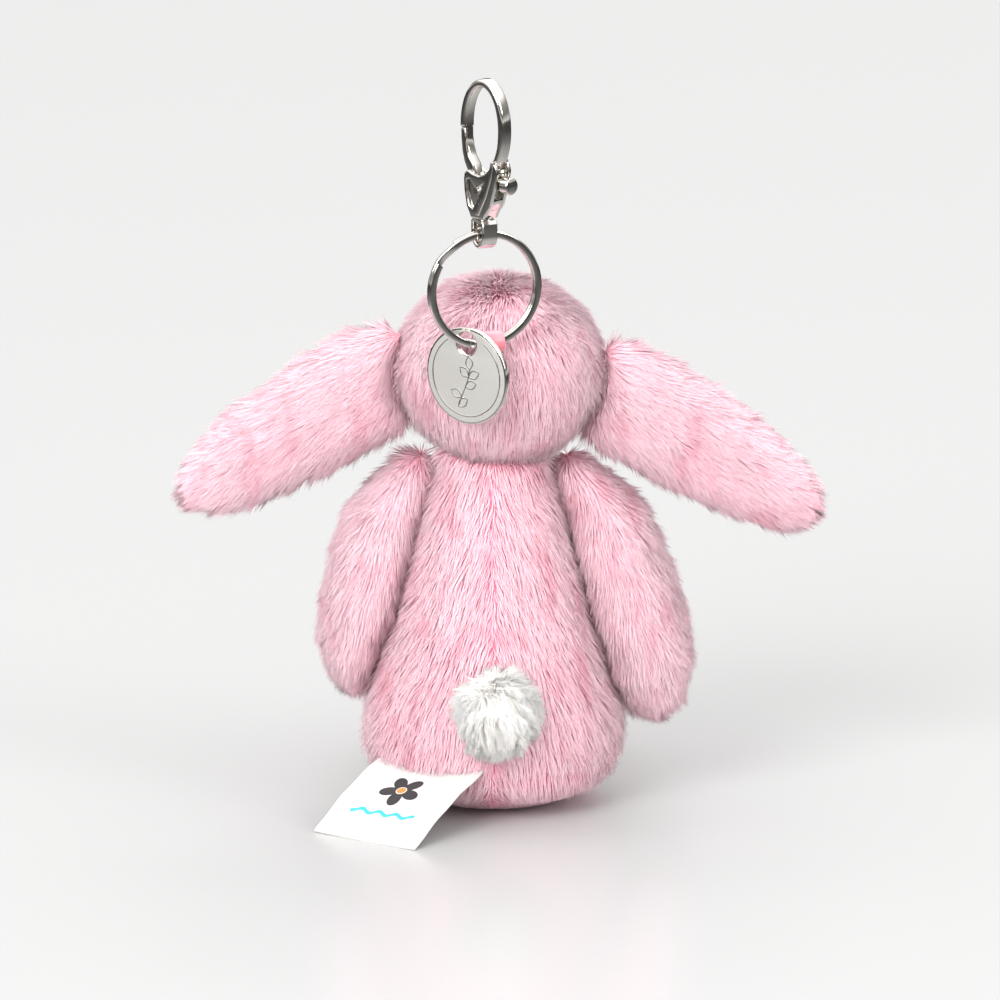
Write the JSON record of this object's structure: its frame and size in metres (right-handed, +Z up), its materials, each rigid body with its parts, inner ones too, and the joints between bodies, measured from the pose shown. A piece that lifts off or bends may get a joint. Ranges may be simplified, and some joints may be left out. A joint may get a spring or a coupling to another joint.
{
  "type": "plush rabbit keychain",
  "caption": "Sitting plush rabbit bag charm with drooping ears, a trigger snap, swivel eye, split ring, round metal charm and a sewn side label.",
  "frame": {"origin": "middle of the flat underside that the rabbit sits on", "axes": "+Z up, +Y the way the rabbit's face looks, +X the rabbit's own right-hand side; left and right in node names are the rabbit's own sides"},
  "size_m": [0.1488, 0.1019, 0.1806],
  "materials": {
    "plush": "long soft pile",
    "lining": "short soft pile",
    "tail": "cream long pile",
    "stuffing": "loose polyester fibre",
    "nickel": "polished nickel plate",
    "spring": "drawn wire",
    "ribbon": "satin ribbon",
    "label": "white satin tape",
    "bead": "polished black",
    "thread": "satin-stitched thread",
    "washer": "moulded"
  },
  "bodies": {
    "plush": {"head_back_left": "plush", "head_back_right": "plush", "head_face": "plush", "head_stuffing": "stuffing", "eye_left": "bead", "eye_right": "bead", "eye_washer_left": "washer", "eye_washer_right": "washer", "nose": "thread", "body_back_left": "plush", "body_back_right": "plush", "belly": "plush", "body_stuffing": "stuffing", "base_panel": "plush", "bean_pouch": "stuffing", "tail": "tail"},
    "ear_left": {"ear_back_left": "plush", "ear_lining_left": "lining"},
    "ear_right": {"ear_back_right": "plush", "ear_lining_right": "lining"},
    "arm_left": {"arm_outer_left": "plush", "arm_inner_left": "plush", "arm_stuffing_left": "stuffing"},
    "arm_right": {"arm_outer_right": "plush", "arm_inner_right": "plush", "arm_stuffing_right": "stuffing"},
    "foot_left": {"foot_upper_left": "plush", "foot_sole_left": "plush", "foot_stuffing_left": "stuffing"},
    "foot_right": {"foot_upper_right": "plush", "foot_sole_right": "plush", "foot_stuffing_right": "stuffing"},
    "label": {"sewn_label": "label", "care_label": "label"},
    "ribbon": {"ribbon_loop": "ribbon"},
    "ring": {"split_ring": "nickel"},
    "disc": {"disc_charm": "nickel"},
    "swivel": {"swivel_eye": "nickel", "swivel_rivet": "nickel"},
    "hook": {"hook_body": "nickel", "gate_pin": "nickel", "gate_spring": "spring"},
    "gate": {"gate_lever": "nickel", "thumb_stud": "nickel"}
  },
  "joints": [
    {"name": "ear_left_flap", "type": "hinge", "parent": "plush", "child": "ear_left", "pos_m": [-0.0229, -0.004, 0.107], "axis": [-0.2756, 0, -0.9613], "range_deg": [-20, 20]},
    {"name": "ear_right_flap", "type": "hinge", "parent": "plush", "child": "ear_right", "pos_m": [0.0261, -0.004, 0.103], "axis": [-0.2756, 0, 0.9613], "range_deg": [-20, 20]},
    {"name": "arm_left_swing", "type": "hinge", "parent": "plush", "child": "arm_left", "pos_m": [-0.019, 0.002, 0.079], "axis": [1, 0, 0], "range_deg": [-12, 60]},
    {"name": "arm_right_swing", "type": "hinge", "parent": "plush", "child": "arm_right", "pos_m": [0.019, 0.002, 0.079], "axis": [1, 0, 0], "range_deg": [-12, 60]},
    {"name": "foot_left_lift", "type": "hinge", "parent": "plush", "child": "foot_left", "pos_m": [-0.0142, 0.025, 0.0155], "axis": [1, 0, 0], "range_deg": [0, 25]},
    {"name": "foot_right_lift", "type": "hinge", "parent": "plush", "child": "foot_right", "pos_m": [0.0142, 0.025, 0.0155], "axis": [1, 0, 0], "range_deg": [0, 25]},
    {"name": "label_flap", "type": "hinge", "parent": "plush", "child": "label", "pos_m": [-0.0146, -0.0201, 0.013], "axis": [-0.809, 0.5878, 0], "range_deg": [0, 45]},
    {"name": "ribbon_fold", "type": "hinge", "parent": "plush", "child": "ribbon", "pos_m": [-0.0005, -0.0237, 0.1042], "axis": [1, 0, 0], "range_deg": [-3, 40]},
    {"name": "ring_tilt", "type": "hinge", "parent": "ribbon", "child": "ring", "pos_m": [-0.002, -0.0272, 0.1167], "axis": [0.9272, 0.3746, 0], "range_deg": [-18, 95]},
    {"name": "disc_swing", "type": "hinge", "parent": "ribbon", "child": "disc", "pos_m": [-0.00581, -0.02874, 0.11735], "axis": [0.9272, 0.3746, 0], "range_deg": [-75, 5]},
    {"name": "eye_swing", "type": "hinge", "parent": "ring", "child": "swivel", "pos_m": [-0.002, -0.0272, 0.1433], "axis": [0.9272, 0.3746, 0], "range_deg": [-70, 70]},
    {"name": "hook_swivel", "type": "hinge", "parent": "swivel", "child": "hook", "pos_m": [-0.002, -0.0272, 0.14735], "axis": [0, 0, 1], "continuous": true},
    {"name": "gate_open", "type": "hinge", "parent": "hook", "child": "gate", "pos_m": [-0.00221, -0.02699, 0.15395], "axis": [0.7071, 0.7071, 0], "range_deg": [0, 22], "stiffness_Nm_per_rad": 0.02, "springref_deg": -17.19}
  ]
}
